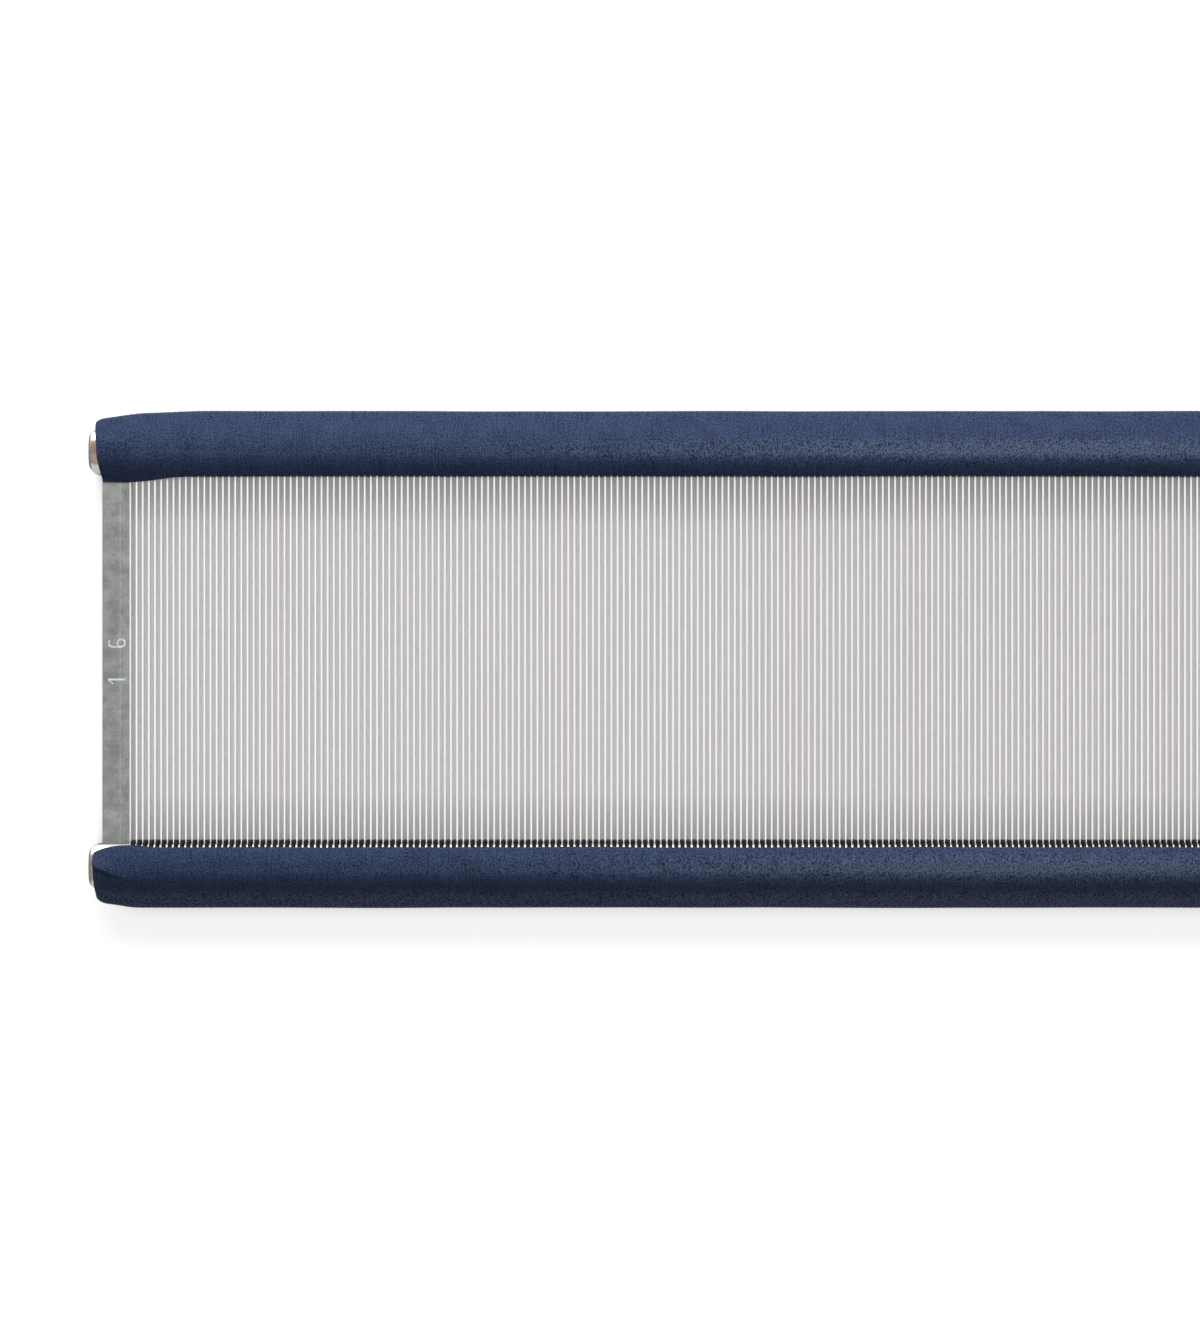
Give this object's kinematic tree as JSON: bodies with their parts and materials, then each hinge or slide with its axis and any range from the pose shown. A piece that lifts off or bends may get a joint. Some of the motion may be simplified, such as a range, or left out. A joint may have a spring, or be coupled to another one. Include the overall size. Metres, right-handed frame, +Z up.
{
  "type": "weaving reed",
  "caption": "Flat comb of fine steel dents held on edge between two cloth-taped rails, with a steel bar at each end, for spacing and beating the yarns on a loom.",
  "frame": {"origin": "on the surface that the reed lies on, under the middle of its length and of its height", "axes": "+X along the reed's length, +Y along the dents towards the top rail, +Z up through its thickness, from the back face to the front face"},
  "size_m": [0.4286, 0.128, 0.0123],
  "materials": {
    "dent_steel": "polished",
    "bar_steel": "satin",
    "rib_steel": "gloss",
    "tarred_wire": "satin",
    "tape_cloth": "matte"
  },
  "bodies": {
    "root": {"dents_inch_01": "dent_steel", "dents_inch_02": "dent_steel", "dents_inch_03": "dent_steel", "dents_inch_04": "dent_steel", "dents_inch_05": "dent_steel", "dents_inch_06": "dent_steel", "dents_inch_07": "dent_steel", "dents_inch_08": "dent_steel", "dents_inch_09": "dent_steel", "dents_inch_10": "dent_steel", "dents_inch_11": "dent_steel", "dents_inch_12": "dent_steel", "dents_inch_13": "dent_steel", "dents_inch_14": "dent_steel", "dents_inch_15": "dent_steel", "dents_inch_16": "dent_steel", "end_bar_left": "bar_steel", "end_bar_right": "bar_steel", "rib_top_front": "rib_steel", "rib_top_back": "rib_steel", "binding_wire_top": "tarred_wire", "edge_tape_top": "tape_cloth", "rib_bottom_front": "rib_steel", "rib_bottom_back": "rib_steel", "binding_wire_bottom": "tarred_wire", "edge_tape_bottom": "tape_cloth"}
  },
  "joints": []
}
